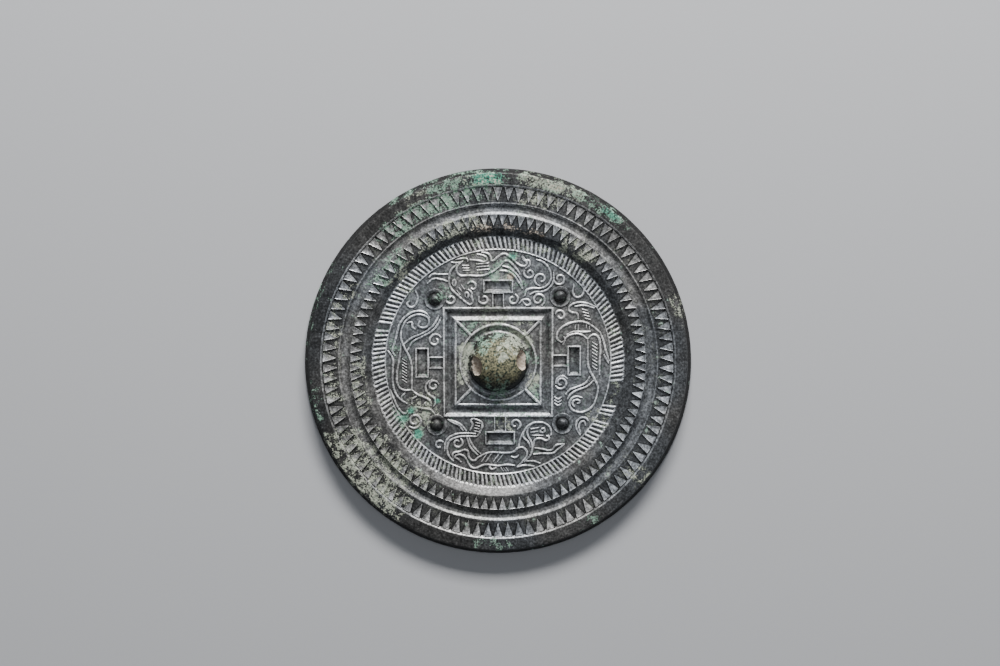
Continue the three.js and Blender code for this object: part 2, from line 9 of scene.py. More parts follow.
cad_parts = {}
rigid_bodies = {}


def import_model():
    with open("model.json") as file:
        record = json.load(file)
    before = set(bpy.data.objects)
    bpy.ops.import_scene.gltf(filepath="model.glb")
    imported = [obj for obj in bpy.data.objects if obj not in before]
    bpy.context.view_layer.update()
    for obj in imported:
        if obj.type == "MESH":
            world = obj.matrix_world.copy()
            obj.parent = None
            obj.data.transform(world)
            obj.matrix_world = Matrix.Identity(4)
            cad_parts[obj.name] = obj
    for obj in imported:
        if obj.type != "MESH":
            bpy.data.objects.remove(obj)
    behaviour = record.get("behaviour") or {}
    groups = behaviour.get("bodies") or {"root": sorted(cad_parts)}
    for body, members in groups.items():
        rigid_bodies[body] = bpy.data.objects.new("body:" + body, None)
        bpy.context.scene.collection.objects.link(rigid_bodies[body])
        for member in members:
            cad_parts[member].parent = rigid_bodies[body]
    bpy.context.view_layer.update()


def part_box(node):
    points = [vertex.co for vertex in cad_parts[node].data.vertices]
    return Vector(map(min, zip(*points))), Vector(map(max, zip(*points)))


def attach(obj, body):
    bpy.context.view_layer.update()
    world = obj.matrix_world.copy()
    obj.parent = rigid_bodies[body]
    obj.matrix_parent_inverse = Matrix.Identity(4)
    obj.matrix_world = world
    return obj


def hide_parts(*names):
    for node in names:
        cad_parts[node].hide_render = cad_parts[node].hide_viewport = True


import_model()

# The room: the mirror lies on its polished face on a pale floor, and the camera looks
# down on it. One long soft light stands low beyond the top edge, so that it rakes the relief,
# and a weak one hangs above. Both face the mirror.
camera = bpy.data.objects.new("camera", bpy.data.cameras.new("camera"))
camera.data.sensor_width = 36
camera.data.lens = 69.96
camera.location = (0, 0.0610, 0.7028)
camera.rotation_euler = (math.radians(-4.116), math.radians(-0.056), 0)
bpy.context.scene.collection.objects.link(camera)
bpy.context.scene.camera = camera


def soft_light(name, place, width, height, power, tint):
    lamp = bpy.data.lights.new(name, "AREA")
    lamp.shape = "RECTANGLE"
    lamp.size = width
    lamp.size_y = height
    lamp.energy = power
    lamp.color = tint
    holder = bpy.data.objects.new(name, lamp)
    holder.location = place
    holder.rotation_euler = (-Vector(place)).to_track_quat("-Z", "Y").to_euler()
    bpy.context.scene.collection.objects.link(holder)


soft_light("window", (0.12, 1.0, 0.5), width=0.6, height=0.22, power=26, tint=(1, 0.99, 0.98))
soft_light("ceiling", (0.1, 0.25, 1.5), width=1.2, height=0.9, power=3.1, tint=(0.95, 0.97, 1))

room = bpy.data.worlds.new("room")
bpy.context.scene.world = room
room.use_nodes = True
sky = room.node_tree.nodes["Background"]
sky.inputs["Color"].default_value = (0.62, 0.66, 0.72, 1)
sky.inputs["Strength"].default_value = 0.16

floor_gap = 0.00005
floor_form = bmesh.new()
bmesh.ops.create_grid(floor_form, x_segments=1, y_segments=1, size=3)
floor_mesh = bpy.data.meshes.new("floor")
floor_form.to_mesh(floor_mesh)
floor_form.free()
floor = bpy.data.objects.new("floor", floor_mesh)
floor.location.z = -floor_gap
bpy.context.scene.collection.objects.link(floor)
paper = bpy.data.materials.new("floor_paper")
paper.use_nodes = True
paper_shader = paper.node_tree.nodes["Principled BSDF"]
paper_shader.inputs["Base Color"].default_value = (0.55, 0.56, 0.58, 1)
paper_shader.inputs["Roughness"].default_value = 0.8
floor_mesh.materials.append(paper)

# The blank: a thick round plate of high-tin bronze, cast in one with everything on its back.
# Its face is polished and bulges a little; its back steps up from a flat field to a heavy rim.
# Lengths are in millimetres until the finished casting is laid in the frame.
field_radius = 40.4
border_radius = 41.2
comb_radius = 45.0
bevel_radius = 48.5
inner_teeth_radius = 53.5
groove_radius = 57.4
outer_teeth_radius = 63.0
rim_inner_radius = 64.0
rim_outer_radius = 68.1
mirror_radius = 70.0
rest_radius = 32.0
face_rise = 0.9
field_level = 2.6
teeth_level = 4.7
rim_level = 5.5
groove_depth = 0.8
line_height = 0.4
edge_break = 0.35
underside_level = 1.6
underside_spacing = 4
box_low, box_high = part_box("mirror")
unit = (box_high[0] - box_low[0]) / (2 * mirror_radius)
chance = random.Random(11)
workshop = bpy.data.collections.new("workshop")
bpy.context.scene.collection.children.link(workshop)


def set_down(name, form, batch=None):
    """Closes a form, turns its faces outwards and lays it in a batch as an object."""
    bmesh.ops.remove_doubles(form, verts=form.verts, dist=1e-4)
    bmesh.ops.recalc_face_normals(form, faces=form.faces)
    mesh = bpy.data.meshes.new(name)
    form.to_mesh(mesh)
    form.free()
    thing = bpy.data.objects.new(name, mesh)
    (batch or workshop).objects.link(thing)
    return thing


def batch_of(name):
    batch = bpy.data.collections.new(name)
    workshop.children.link(batch)
    return batch


def turned(profile, steps, rounding=0, spacing=None):
    """Turns a line of (radius, height) points that runs from the axis to the axis."""
    form = bmesh.new()
    points = [form.verts.new((radius, 0, height)) for radius, height in profile]
    for first, second in zip(points, points[1:]):
        form.edges.new((first, second))
    if rounding:
        bmesh.ops.bevel(
            form, geom=points[2:-1], offset=rounding, offset_type="OFFSET", segments=3,
            profile=0.5, affect="VERTICES", material=-1, clamp_overlap=True,
        )
    if spacing:
        for edge in list(form.edges):
            on_back = max(corner.co.z for corner in edge.verts) > underside_level
            cuts = int(edge.calc_length() / (spacing if on_back else underside_spacing))
            if cuts:
                bmesh.ops.subdivide_edges(form, edges=[edge], cuts=cuts)
    bmesh.ops.spin(
        form, geom=form.verts[:] + form.edges[:], cent=(0, 0, 0), axis=(0, 0, 1),
        angle=2 * math.pi, steps=steps, use_merge=True,
    )
    bmesh.ops.remove_doubles(form, verts=form.verts, dist=1e-4)
    return form


face_arc = []
for share in (0.3, 0.6, 0.85, 1):
    face_reach = rest_radius + (mirror_radius - edge_break - rest_radius) * share
    face_arc.append((face_reach, face_rise * share ** 2))
groove = []
for share in (0.22, 0.5, 0.78):
    groove_reach = groove_radius - (groove_radius - inner_teeth_radius) * share
    groove.append((groove_reach, teeth_level - groove_depth * math.sin(math.pi * share) ** 0.7))
groove_lip = teeth_level + 0.12
groove_margin = 0.3
blank_profile = [
    (0, 0), (rest_radius, 0), *face_arc, (mirror_radius, face_rise + edge_break),
    (rim_outer_radius, rim_level), (rim_inner_radius, rim_level - 0.05),
    (outer_teeth_radius, teeth_level), (groove_radius + groove_margin, teeth_level),
    (groove_radius, groove_lip), *groove,
    (inner_teeth_radius, groove_lip), (inner_teeth_radius - groove_margin, teeth_level),
    (bevel_radius, teeth_level), (comb_radius, field_level), (border_radius, field_level),
    (border_radius - 0.4, field_level + line_height), (field_radius, field_level), (0, field_level),
]
blank = set_down("blank", turned(blank_profile, 360, rounding=0.16, spacing=1.15))

# The tooth bands: two rings of triangles that point inward, filed by hand in the mould, so that
# no two are quite alike. Their tops are slightly sunk. The comb strokes inside them lean one way.
added = batch_of("added")
tooth_height = 0.55
tooth_root = 0.3
tooth_edge = 0.3
tooth_dish = 0.08


def tooth_band(name, count, tip_radius, base_radius):
    """Each tooth has sloping sides and a dished top, and differs a little from the next."""
    form = bmesh.new()
    pitch = 2 * math.pi / count
    for index in range(count):
        angle = (index + 0.5) * pitch
        half = base_radius * math.sin(pitch / 2) * chance.uniform(0.93, 0.985)
        tip = tip_radius + chance.uniform(-0.3, 0.35)
        lean = chance.uniform(-0.14, 0.14)
        corners = [(tip, lean - 0.09), (tip, lean + 0.09), (base_radius, half), (base_radius, -half)]
        base = form.faces.new([form.verts.new((x, y, teeth_level - tooth_root)) for x, y in corners])
        lifted = bmesh.ops.extrude_face_region(form, geom=[base])["geom"]
        top = [part for part in lifted if isinstance(part, bmesh.types.BMVert)]
        rise = tooth_root + tooth_height * chance.uniform(0.95, 1.05)
        bmesh.ops.translate(form, verts=top, vec=(0, 0, rise))
        middle = Vector((base_radius - 0.3 * (base_radius - tip), lean / 2, 0))
        slope = Matrix.Translation(middle) @ Matrix.Diagonal((0.9, 0.84, 1, 1))
        bmesh.ops.transform(form, matrix=slope @ Matrix.Translation(-middle), verts=top)
        turn = Matrix.Rotation(angle, 4, "Z")
        bmesh.ops.transform(form, matrix=turn, verts=list(base.verts) + top)
        crown = [part for part in lifted if isinstance(part, bmesh.types.BMFace)]
        crown[0].normal_update()
        sink = tooth_dish if crown[0].normal.z < 0 else -tooth_dish
        bmesh.ops.inset_region(form, faces=crown, thickness=tooth_edge, depth=sink)
    set_down(name, form, added)


tooth_band("outer_teeth", 102, groove_radius + 0.7, outer_teeth_radius + 0.35)
tooth_band("inner_teeth", 100, bevel_radius + 0.7, inner_teeth_radius - 0.1)

comb_count = 166
comb_slant = math.radians(14)
comb_outer_end = comb_radius + 0.55
comb_inner_end = border_radius - 0.35
comb_form = bmesh.new()
for index in range(comb_count):
    degrees = index * 360 / comb_count
    worn_away = 339 < degrees < 350
    every_other_worn = 330 < degrees < 335 or 160 < degrees < 165
    if worn_away or (every_other_worn and index % 2):
        continue
    stroke = bmesh.ops.create_cone(
        comb_form, segments=8, cap_ends=True, radius1=0.6, radius2=0.52,
        depth=comb_outer_end - comb_inner_end,
    )["verts"]
    lay = (
        Matrix.Rotation(math.radians(degrees + chance.uniform(-0.16, 0.16)), 4, "Z")
        @ Matrix.Translation(((comb_outer_end + comb_inner_end) / 2, 0, field_level - 0.12))
        @ Matrix.Rotation(comb_slant + chance.uniform(-0.03, 0.03), 4, "Z")
        @ Matrix.Diagonal((1, 1, chance.uniform(0.78, 0.95), 1))
        @ Matrix.Rotation(-math.pi / 2, 4, "Y")
    )
    bmesh.ops.transform(comb_form, matrix=lay, verts=stroke)
set_down("comb", comb_form, added)

# The beasts: four animals with curls between them, drawn in the mould with a round tool, so
# that every line is a thin round ridge. Points are [along, outward] on each side of the field.
line_radius = 0.53
line_middle = field_level - 0.06
line_end_share = 0.72


def bead(name, route, thick=1.0, pointed=True):
    """A round ridge, half sunk in the field, that runs along a route and thins to its ends."""
    curve = bpy.data.curves.new(name, "CURVE")
    curve.dimensions = "3D"
    curve.bevel_depth = line_radius
    curve.bevel_resolution = 2
    curve.resolution_u = 4
    curve.use_fill_caps = True
    curve.twist_mode = "Z_UP"
    spline = curve.splines.new("BEZIER")
    spline.bezier_points.add(len(route) - 1)
    for index, (x, y) in enumerate(route):
        knot = spline.bezier_points[index]
        knot.co = (x, y, line_middle)
        knot.handle_left_type = "VECTOR" if len(route) == 2 else "AUTO"
        knot.handle_right_type = knot.handle_left_type
        at_end = pointed and index in (0, len(route) - 1)
        knot.radius = thick * (line_end_share if at_end else chance.uniform(0.92, 1.08))
    thing = bpy.data.objects.new(name, curve)
    workshop.objects.link(thing)
    bpy.context.view_layer.update()
    form = bmesh.new()
    form.from_mesh(thing.to_mesh())
    thing.to_mesh_clear()
    bpy.data.objects.remove(thing)
    set_down(name, form, added)


def volute(along, outward, radius, start_degrees, turns):
    """A spiral's points from its outer end inward; turns below zero wind clockwise."""
    count = math.ceil(abs(turns) * 8)
    points = []
    for index in range(count + 1):
        share = index / count
        reach = radius * (1 - 0.68 * share)
        angle = math.radians(start_degrees) + turns * share * 2 * math.pi
        points.append([along + reach * math.cos(angle), outward + reach * math.sin(angle)])
    return points


def hatch(count, start, end, step):
    """A row of like strokes, each a step further along."""
    return [
        [[x + index * step[0], y + index * step[1]] for x, y in (start, end)]
        for index in range(count)
    ]


horned = [
    # neck, jaw and snout
    [[-14.8, 35.4], [-16.8, 33.6], [-17.6, 30.6], [-17.1, 27], [-15, 24.7], [-12.4, 22.4], [-10.2, 20.8]],
    [[-10.2, 20.8], [-9.2, 21.7], [-9.6, 24], [-9.6, 25.3], [-11, 26.5]],
    # eye and nostril
    [[-16.3, 27.9], [-16.4, 28.9], [-15.8, 29.8], [-15.3, 28.9], [-15.6, 27.9], [-16.1, 27.6]],
    [[-11.7, 23.6], [-12, 24.6], [-11.4, 25.3], [-10.7, 24.6], [-10.9, 23.6], [-11.4, 23.2]],
    # crest and mane
    [[-16.9, 36.2], [-14.5, 36], [-12.4, 36.6]],
    [[-15.5, 37], [-13, 37.5], [-11.2, 37.3], [-10.9, 36.2]],
    # shoulder and belly
    [
        [-12.4, 36.6], [-14.4, 35.2], [-15, 33.4], [-13.9, 31.6],
        [-11, 31.4], [-5, 31.5], [-2, 32.8], [0.6, 34.7],
    ],
    [[0.6, 34.7], [2.9, 36.8], [5, 35.6], [7, 33.4], [7.9, 31.8]],
    # back and wing
    [[-10.2, 37.1], [-7, 36.8], [-4.6, 36.5], [-4, 37.4], [-5, 38.5], [-7.6, 39.1]],
    [
        [-6, 39.8], [-3.7, 39.3], [-2.6, 38], [-2.3, 36.7],
        [-0.2, 38.1], [2.2, 39.3], [4.4, 38.1], [6.6, 36],
    ],
    [[6.6, 36], [8.4, 34.9], [10, 35.1], [10.3, 36.2], [9, 37.3], [8.6, 38.6]],
    # hind legs
    [[0.6, 33.2], [3.4, 32.9], [5.6, 31.5], [7.5, 28.9], [8.8, 26.6]],
    [[1.6, 34.8], [3.8, 34.2], [6.3, 32.2], [8, 29.8], [8.8, 26.6]],
    # foreleg
    [[-18, 29.2], [-20.6, 30], [-23.3, 30.2], [-25.6, 28.5]],
    [[-17.9, 31.9], [-21, 31.8], [-23.8, 31.8], [-25, 30.6]],
    # tail
    [
        [13.6, 37.2], [16.3, 36.2], [18.4, 33.8], [19.1, 30.8], [18.2, 28.4],
        [15.8, 26.9], [12, 26.8], [10, 25.9], [9.7, 24],
    ],
    [[19.9, 32.8], [20, 29.8], [18.6, 27.1], [16, 25.6], [13.2, 25.4], [11.4, 24.5]],
    [[8.9, 38.4], [9.8, 37], [11.2, 36.7], [11.3, 35.2], [9.9, 33.9]],
    volute(11.3, 32.2, 2.1, 140, 1.1),
    volute(15.4, 30.1, 2.6, 265, -1),
    volute(22.2, 30.2, 2.4, 150, 1.2),
    volute(14.5, 22.7, 2.5, -60, 1.2),
    volute(-9.3, 27.4, 2, 150, -0.8),
    # curls beside the T and the nipple
    volute(-5.1, 22.9, 2.1, 145, 1),
    volute(5.3, 22.8, 2.1, 70, -1),
    volute(-17, 22.9, 2, 140, 1.1),
    [[7.4, 21.2], [9.2, 22.7], [11.2, 22.5], [11.5, 21.2], [10.2, 20.7], [8.9, 22.1]],
    *hatch(3, [-13, 35], [-10.4, 35], [0.1, -0.9]),
    *hatch(3, [-8, 35.5], [-3.4, 35.9], [0.2, -1.1]),
    *hatch(3, [-15, 26.2], [-13.7, 24.4], [0.8, 1]),
]

plumed = [
    # head, jaw and neck
    [[-19.1, 22.8], [-17.3, 24.4], [-16.8, 27], [-16.3, 29.5]],
    [[-16.3, 23.6], [-14.8, 22.7], [-13, 23.2], [-11.6, 25.2], [-9.4, 26.2], [-7.4, 25.5], [-6.2, 23.6]],
    [[-16, 24.2], [-14.2, 24.5], [-12.9, 26.2], [-11.9, 28.8], [-10, 31.3]],
    [[-15.2, 31.2], [-13.4, 31], [-12.3, 29.4]],
    # back and crest
    [[-15, 32.9], [-13.5, 35.3], [-11.6, 36.9], [-8, 38], [-3, 38.1], [1, 38], [3, 38.9], [4.4, 40]],
    [[-17.6, 32.6], [-18.6, 33.6], [-17.1, 35.8], [-13.5, 37.6], [-9.5, 39.3]],
    [[-14, 34.7], [-12.6, 34.9], [-11, 33.5]],
    # body
    [[-10, 31.3], [-10, 34.4], [-8.6, 36.1], [-5, 36.6], [-1, 36.1], [3, 35.4], [7, 35.2]],
    [[-10, 31.3], [-5, 31.2], [-1, 31.3], [2.4, 32.3], [5.4, 33.9], [9, 35.1], [12, 34.9]],
    # tail
    [
        [12, 34.9], [15, 33.3], [17, 30.4], [17.2, 27.6], [15.8, 25.2],
        [13.6, 25.2], [12.5, 27], [13.4, 28.8], [15.2, 28],
    ],
    [
        [2.3, 37.2], [4, 38.2], [6.6, 37.5], [10.5, 36.5], [14.2, 35.4],
        [16.9, 33], [18.5, 29.6], [18, 26.4], [16, 24.6],
    ],
    [[6.6, 34], [8.6, 31.6], [10.3, 27.7], [12.3, 24.5], [14.7, 22.5], [17.2, 21.4]],
    [[4.3, 32.7], [7.3, 31], [9.3, 27.4], [11.3, 24], [13.7, 21.8], [16.4, 20.6]],
    [[12, 30], [12.9, 31], [14.4, 31.1], [14.2, 33]],
    # curls
    [[26.2, 30], [23.6, 29], [21, 29.7], [20, 31.4], [21.2, 32.8], [22.3, 31.8]],
    volute(7.9, 22.8, 2.5, -65, 1.1),
    volute(-8.5, 23.4, 2, -75, 1.1),
    volute(-21.2, 30.3, 2.9, 135, 1.3),
    volute(-15.2, 25.9, 0.7, 0, 0.8),
    *hatch(8, [-7.4, 33], [-6.2, 34.8], [1.08, 0]),
]

tiger = [
    # foreleg
    [[-12.7, 33.5], [-16, 33.2], [-20, 33], [-21.6, 31.7], [-24.2, 29.7]],
    [[-13.2, 31.1], [-16, 31.6], [-19.4, 31.9], [-21, 30.2], [-24.2, 29.7]],
    # neck and mane
    [
        [-9.4, 36.3], [-11.4, 34.2], [-12.4, 31.5], [-12, 28.8],
        [-10.7, 26.4], [-10.8, 24.2], [-11.8, 22.7],
    ],
    [[-11.8, 31], [-10.8, 28.8], [-9.2, 27.2], [-9.2, 25.2]],
    [
        [-7.5, 31], [-8, 28], [-9.4, 25], [-11.5, 22.7],
        [-14.4, 21.8], [-17.4, 22.4], [-19.2, 24.6], [-19.2, 26.6],
    ],
    [[-15.3, 36.8], [-13, 36], [-10.2, 36]],
    [[-13.2, 37.9], [-9.6, 37.5], [-6.8, 38.2]],
    # shoulder
    [
        [-6.8, 38.2], [-9, 36], [-10.5, 33.6], [-9.8, 31.5], [-7.6, 31],
        [-5.6, 32.6], [-3, 33], [3.4, 32.9], [6.8, 34.3],
    ],
    [[-7.7, 33.6], [-6.4, 34.6], [-4.6, 34.3]],
    # head, with its open jaw, eye and striped cheek
    [[-19.2, 26.6], [-17.5, 26.7]],
    [
        [-17.5, 26.7], [-18.5, 27.4], [-17.4, 28.4], [-15.9, 27.8],
        [-14.1, 27.8], [-13, 28.8], [-12.9, 30.6],
    ],
    volute(-16.2, 24.6, 1.15, 0, 1),
    [[-11.8, 24.3], [-14.9, 23.7]],
    [[-11.6, 25.5], [-14.6, 25.1]],
    [[-12.1, 26.6], [-16.4, 26.6]],
    # back and hind leg
    [[-6.2, 37.6], [-3, 37.3], [0, 37.7], [2.4, 37.4], [5, 37.3], [7.4, 38.3], [9.3, 38.4], [10.8, 36.8]],
    [[10.8, 36.8], [12, 34.6], [14.2, 33.6], [15.6, 34.5], [14.6, 35.2], [13.4, 36.4]],
    [[5, 33.3], [7, 34.5], [9, 35.8], [10.4, 34.8], [11.4, 32], [14, 32.5], [16.4, 33.3], [16.2, 35.4]],
    [[0.6, 38.3], [2.2, 38.9], [3.1, 38.1], [2.4, 37.4]],
    # tail
    [[7.2, 33.9], [9.3, 31.8], [10.7, 29.5], [11.3, 27.2]],
    [[6.3, 33.4], [8.6, 31.2], [9.8, 29.2], [10.6, 27.3]],
    [[7.7, 27], [11, 26.9], [15.4, 27.4], [17.8, 28.9], [18.5, 31.5], [17.9, 34], [16.2, 36]],
    [[8, 26], [12.5, 25.8], [16.6, 26.6], [18.9, 28.8], [19.4, 32.4]],
    [[7.7, 27], [6.5, 25.2], [5.8, 22.2], [7.4, 21], [9.8, 20.9], [9.2, 22.6], [10.3, 24.8]],
    *hatch(4, [7, 25.3], [8.9, 24.9], [-0.2, -1]),
    [[11.5, 25], [13.2, 22.9], [15.4, 21.7], [18.3, 20.8]],
    [[12.6, 25], [14.2, 23], [16.2, 22], [18.3, 20.8]],
    # ribs and curls
    *hatch(2, [-1.9, 33.4], [0.3, 36.3], [1.5, -0.1]),
    *hatch(2, [2.4, 33.2], [4.6, 36.4], [1.5, -0.1]),
    *hatch(3, [-3.8, 39.7], [-2.7, 38.3], [0.9, 0]),
    volute(-6.2, 22.5, 2.1, 110, 1),
    volute(14.7, 29.3, 2, -120, -1.1),
    volute(21.3, 30.1, 1.8, 215, 0.8),
]

serpent = [
    # neck that bends round the end of the T, and head
    [
        [-10.8, 36.9], [-13, 34.2], [-14.6, 31], [-14.6, 27.4],
        [-13.4, 24.2], [-11.3, 21.8], [-8.6, 21.3], [-7.2, 22.8],
    ],
    [[-7.2, 22.8], [-8.2, 24.2], [-9.6, 23.5]],
    [[-8.4, 32.3], [-10, 30.2], [-10.2, 27], [-9, 24.7], [-6.2, 23.4]],
    [[-11.2, 33.4], [-11, 30.6], [-11.1, 27.4], [-10, 24.8]],
    *hatch(2, [-13.9, 31.9], [-12.3, 31.9], [0.4, 1.1]),
    *hatch(2, [-13.8, 29], [-11.4, 28.9], [0, -1.1]),
    # back and wing
    [[-10.8, 36.9], [-8, 38], [-4, 39], [-0.4, 40.2]],
    [[-3, 38.2], [-1.4, 39], [0.4, 40]],
    # body
    [[-8.4, 32.3], [-10, 34.2], [-9.4, 36], [-6, 36.9], [0, 36.7], [4.6, 36.7]],
    [[-8.4, 32.3], [-4, 32.5], [0, 32.4], [3, 33.2], [6, 34.8], [9, 36.1], [12.4, 35.7]],
    # tail
    [
        [12.4, 35.7], [15.6, 34.4], [17.7, 31.8], [18, 28.6],
        [16.4, 26.2], [13.8, 26.1], [12.4, 28.2], [12.9, 30.5],
    ],
    [[16.2, 27.6], [14.6, 26.9], [13.6, 28.4], [14.4, 29.6], [15, 28.6]],
    [[6.6, 34.6], [8.8, 32], [10, 28.9], [11.4, 26.4], [13.4, 25.1]],
    [[5, 33.3], [7.6, 31.5], [9, 28.4], [10, 25.9], [11.7, 24.4]],
    # foreleg
    [[-20, 35.4], [-21.5, 31.5], [-21.4, 27.6], [-19.6, 25.5], [-18.3, 26.2], [-17.6, 28.6], [-15.6, 29]],
    [[-19.6, 34.8], [-20.6, 31], [-20.2, 27.4]],
    # curls
    volute(7.4, 22.8, 2.4, -65, 1.2),
    [[6, 25.1], [5, 23.4], [6, 21.3], [7.8, 20.9]],
    volute(-17, 22.5, 2, -100, -1),
    [[26.6, 29.8], [23.4, 28.3], [20.6, 29.3], [20.3, 31.8], [21.4, 32.7]],
    [[26, 30], [22.6, 29.4], [21.4, 31], [23, 31.7]],
    [[-29, 30.6], [-26, 31], [-23.7, 29.6], [-24.2, 27.4], [-28.6, 27.4]],
    *hatch(4, [-19.3, 30.2], [-18.7, 32.4], [1.1, 0.35]),
    *hatch(8, [-7.4, 33.9], [-6.2, 35.8], [1.25, 0]),
    *[[[12.6 + step, 23], [13.3 + step, 21.7], [12.5 + step, 20.3]] for step in (0, 1.15, 2.3)],
]

hatching_thickness = 0.88
for side, beast in enumerate((horned, plumed, tiger, serpent)):
    turn = Matrix.Rotation(side * math.pi / 2, 2)
    for number, stroke in enumerate(beast):
        route = [tuple(turn @ Vector(point)) for point in stroke]
        bead(f"figure_{side}_{number}", route, hatching_thickness if len(stroke) < 3 else 1.0)

# The square and the four T shapes: bands hollowed like gutters between thin ridges. The T's
# stand on the square's sides, and four nipples on ringed seats stand in the corners.
hollowed = batch_of("hollowed")
square_half = 19.6
square_band = 4.2


def square_ring(name, middle, section, batch):
    """A square ring with a given section of (across, height) points, mitred at its corners."""
    form = bmesh.new()
    points = []
    for across, height in section:
        points.append(form.verts.new(((middle + across) * math.sqrt(2), 0, height)))
    for first, second in zip(points, points[1:] + points[:1]):
        form.edges.new((first, second))
    bmesh.ops.spin(
        form, geom=form.verts[:] + form.edges[:], cent=(0, 0, 0), axis=(0, 0, 1),
        angle=2 * math.pi, steps=4, use_merge=True,
    )
    corner_turn = Matrix.Rotation(math.pi / 4, 3, "Z")
    bmesh.ops.rotate(form, verts=form.verts, cent=(0, 0, 0), matrix=corner_turn)
    set_down(name, form, batch)


inner_half = square_half - square_band
line_half_width = 0.48
line_foot = field_level - 0.02
line_rise = line_height + 0.06
line_section = []
for step in range(14):
    angle = step * math.pi / 7
    line_section.append((line_half_width * math.cos(angle), line_foot + line_rise * math.sin(angle)))
square_ring("square_outer_line", square_half, line_section, added)
square_ring("square_inner_line", inner_half, line_section, added)
half_gutter = ((1.75, -0.5), (1.75, 0), (1.15, 0.42), (0.6, 0.74))
gutter_section = [(across, field_level + 0.05 - depth) for across, depth in half_gutter]
gutter_section += [(-across, level) for across, level in reversed(gutter_section)]
square_ring("square_gutter", (square_half + inner_half) / 2, gutter_section, hollowed)

t_stem = 4.3
t_stem_length = 5.5
t_bar = 10.8
t_bar_width = 4.8
t_shifts = (0, -0.15, -0.7, -0.6)


def t_outline(form, margin, level):
    """The T's outline as one face, grown by a margin, its foot against the square."""
    stem = t_stem / 2 + margin
    bar = t_bar / 2 + margin
    foot = square_half + 0.3 - margin
    neck = square_half + t_stem_length - margin
    top = square_half + t_stem_length + t_bar_width + margin
    corners = [
        (-stem, foot), (stem, foot), (stem, neck), (bar, neck),
        (bar, top), (-bar, top), (-bar, neck), (-stem, neck),
    ]
    return form.faces.new([form.verts.new((x, y, level)) for x, y in corners])


def on_side(form, side):
    """Turns a T's form to its side of the square, with that T's small shift along it."""
    place = Matrix.Rotation(side * math.pi / 2, 4, "Z") @ Matrix.Translation((t_shifts[side], 0, 0))
    bmesh.ops.transform(form, matrix=place, verts=form.verts)


t_margin = 0.1
t_root = 0.3
gutter_mouth = field_level + 0.9
gutter_drop = 0.56
tray_slopes = ((0.3, 0.3), (0.55, 0.42), (0.4, 0.28))
stem_slopes = ((0.25, 0.3), (0.5, 0.5))
for side in range(4):
    ridge_form = bmesh.new()
    sheet_face = t_outline(ridge_form, t_margin, field_level - t_root)
    raised = bmesh.ops.extrude_face_region(ridge_form, geom=[sheet_face])["geom"]
    crest = [part for part in raised if isinstance(part, bmesh.types.BMVert)]
    bmesh.ops.translate(ridge_form, verts=crest, vec=(0, 0, t_root + line_height))
    crest_face = [part for part in raised if isinstance(part, bmesh.types.BMFace)][0]
    bmesh.ops.recalc_face_normals(ridge_form, faces=ridge_form.faces)
    bmesh.ops.bevel(
        ridge_form, geom=list(crest_face.edges), offset=0.26, offset_type="OFFSET", segments=2,
        profile=0.5, affect="EDGES", material=-1,
    )
    on_side(ridge_form, side)
    set_down(f"t_ridge_{side}", ridge_form, added)

    neck = square_half + t_stem_length
    for part, left, right, start, end, slopes in (
        ("tray", 0.4 - t_bar / 2, t_bar / 2 - 0.4, neck + 0.4, neck + t_bar_width - 0.4, tray_slopes),
        ("stem", 0.35 - t_stem / 2, t_stem / 2 - 0.35, square_half + 0.25, neck - 0.2, stem_slopes),
    ):
        gutter_form = bmesh.new()
        corners = ((left, start), (right, start), (right, end), (left, end))
        mouth = gutter_form.faces.new([gutter_form.verts.new((x, y, gutter_mouth)) for x, y in corners])
        sunk = bmesh.ops.extrude_face_region(gutter_form, geom=[mouth])["geom"]
        low_rim = [piece for piece in sunk if isinstance(piece, bmesh.types.BMVert)]
        bmesh.ops.translate(gutter_form, verts=low_rim, vec=(0, 0, -gutter_drop))
        bottom = [piece for piece in sunk if isinstance(piece, bmesh.types.BMFace)][0]
        bmesh.ops.recalc_face_normals(gutter_form, faces=gutter_form.faces)
        for inset, depth in slopes:
            bmesh.ops.inset_region(gutter_form, faces=[bottom], thickness=inset, depth=depth)
        on_side(gutter_form, side)
        set_down(f"t_{part}_{side}", gutter_form, hollowed)

nipple_seat = 4.0
nipple_radius = 2.15
nipple_height = 1.95
dome_foot = 0.05
seat_root = -0.3
seat_rim = 0.36
nipples = ((-22.9, 22.8), (22.4, 23.8), (-22.3, -22.8), (23.3, -22.3))
for number, (x, y) in enumerate(nipples):
    dome = []
    for share in (0, 0.2, 0.4, 0.6, 0.8):
        angle = share * math.pi / 2
        dome_height = dome_foot + (nipple_height - dome_foot) * math.sin(angle)
        dome.append((nipple_radius * math.cos(angle), dome_height))
    seat = [
        (0, seat_root), (nipple_seat, seat_root), (nipple_seat, 0.05),
        (nipple_seat * 0.93, seat_rim), (nipple_seat * 0.84, seat_rim), (nipple_seat * 0.7, 0.08),
        *dome, (0, nipple_height),
    ]
    seat_form = turned(seat, 40)
    bmesh.ops.translate(seat_form, verts=seat_form.verts, vec=(x, y, field_level))
    set_down(f"nipple_{number}", seat_form, added)

# The knob: a high round boss in a hollowed ring, pierced from side to side for the cord that
# the mirror was held by. One ridge runs to its ring from each inner corner of the square.
knob_radius = 10.6
knob_height = 8.2
moat_radius = knob_radius + 2.8
moat_depth = 0.5
knob_foot = field_level - moat_depth

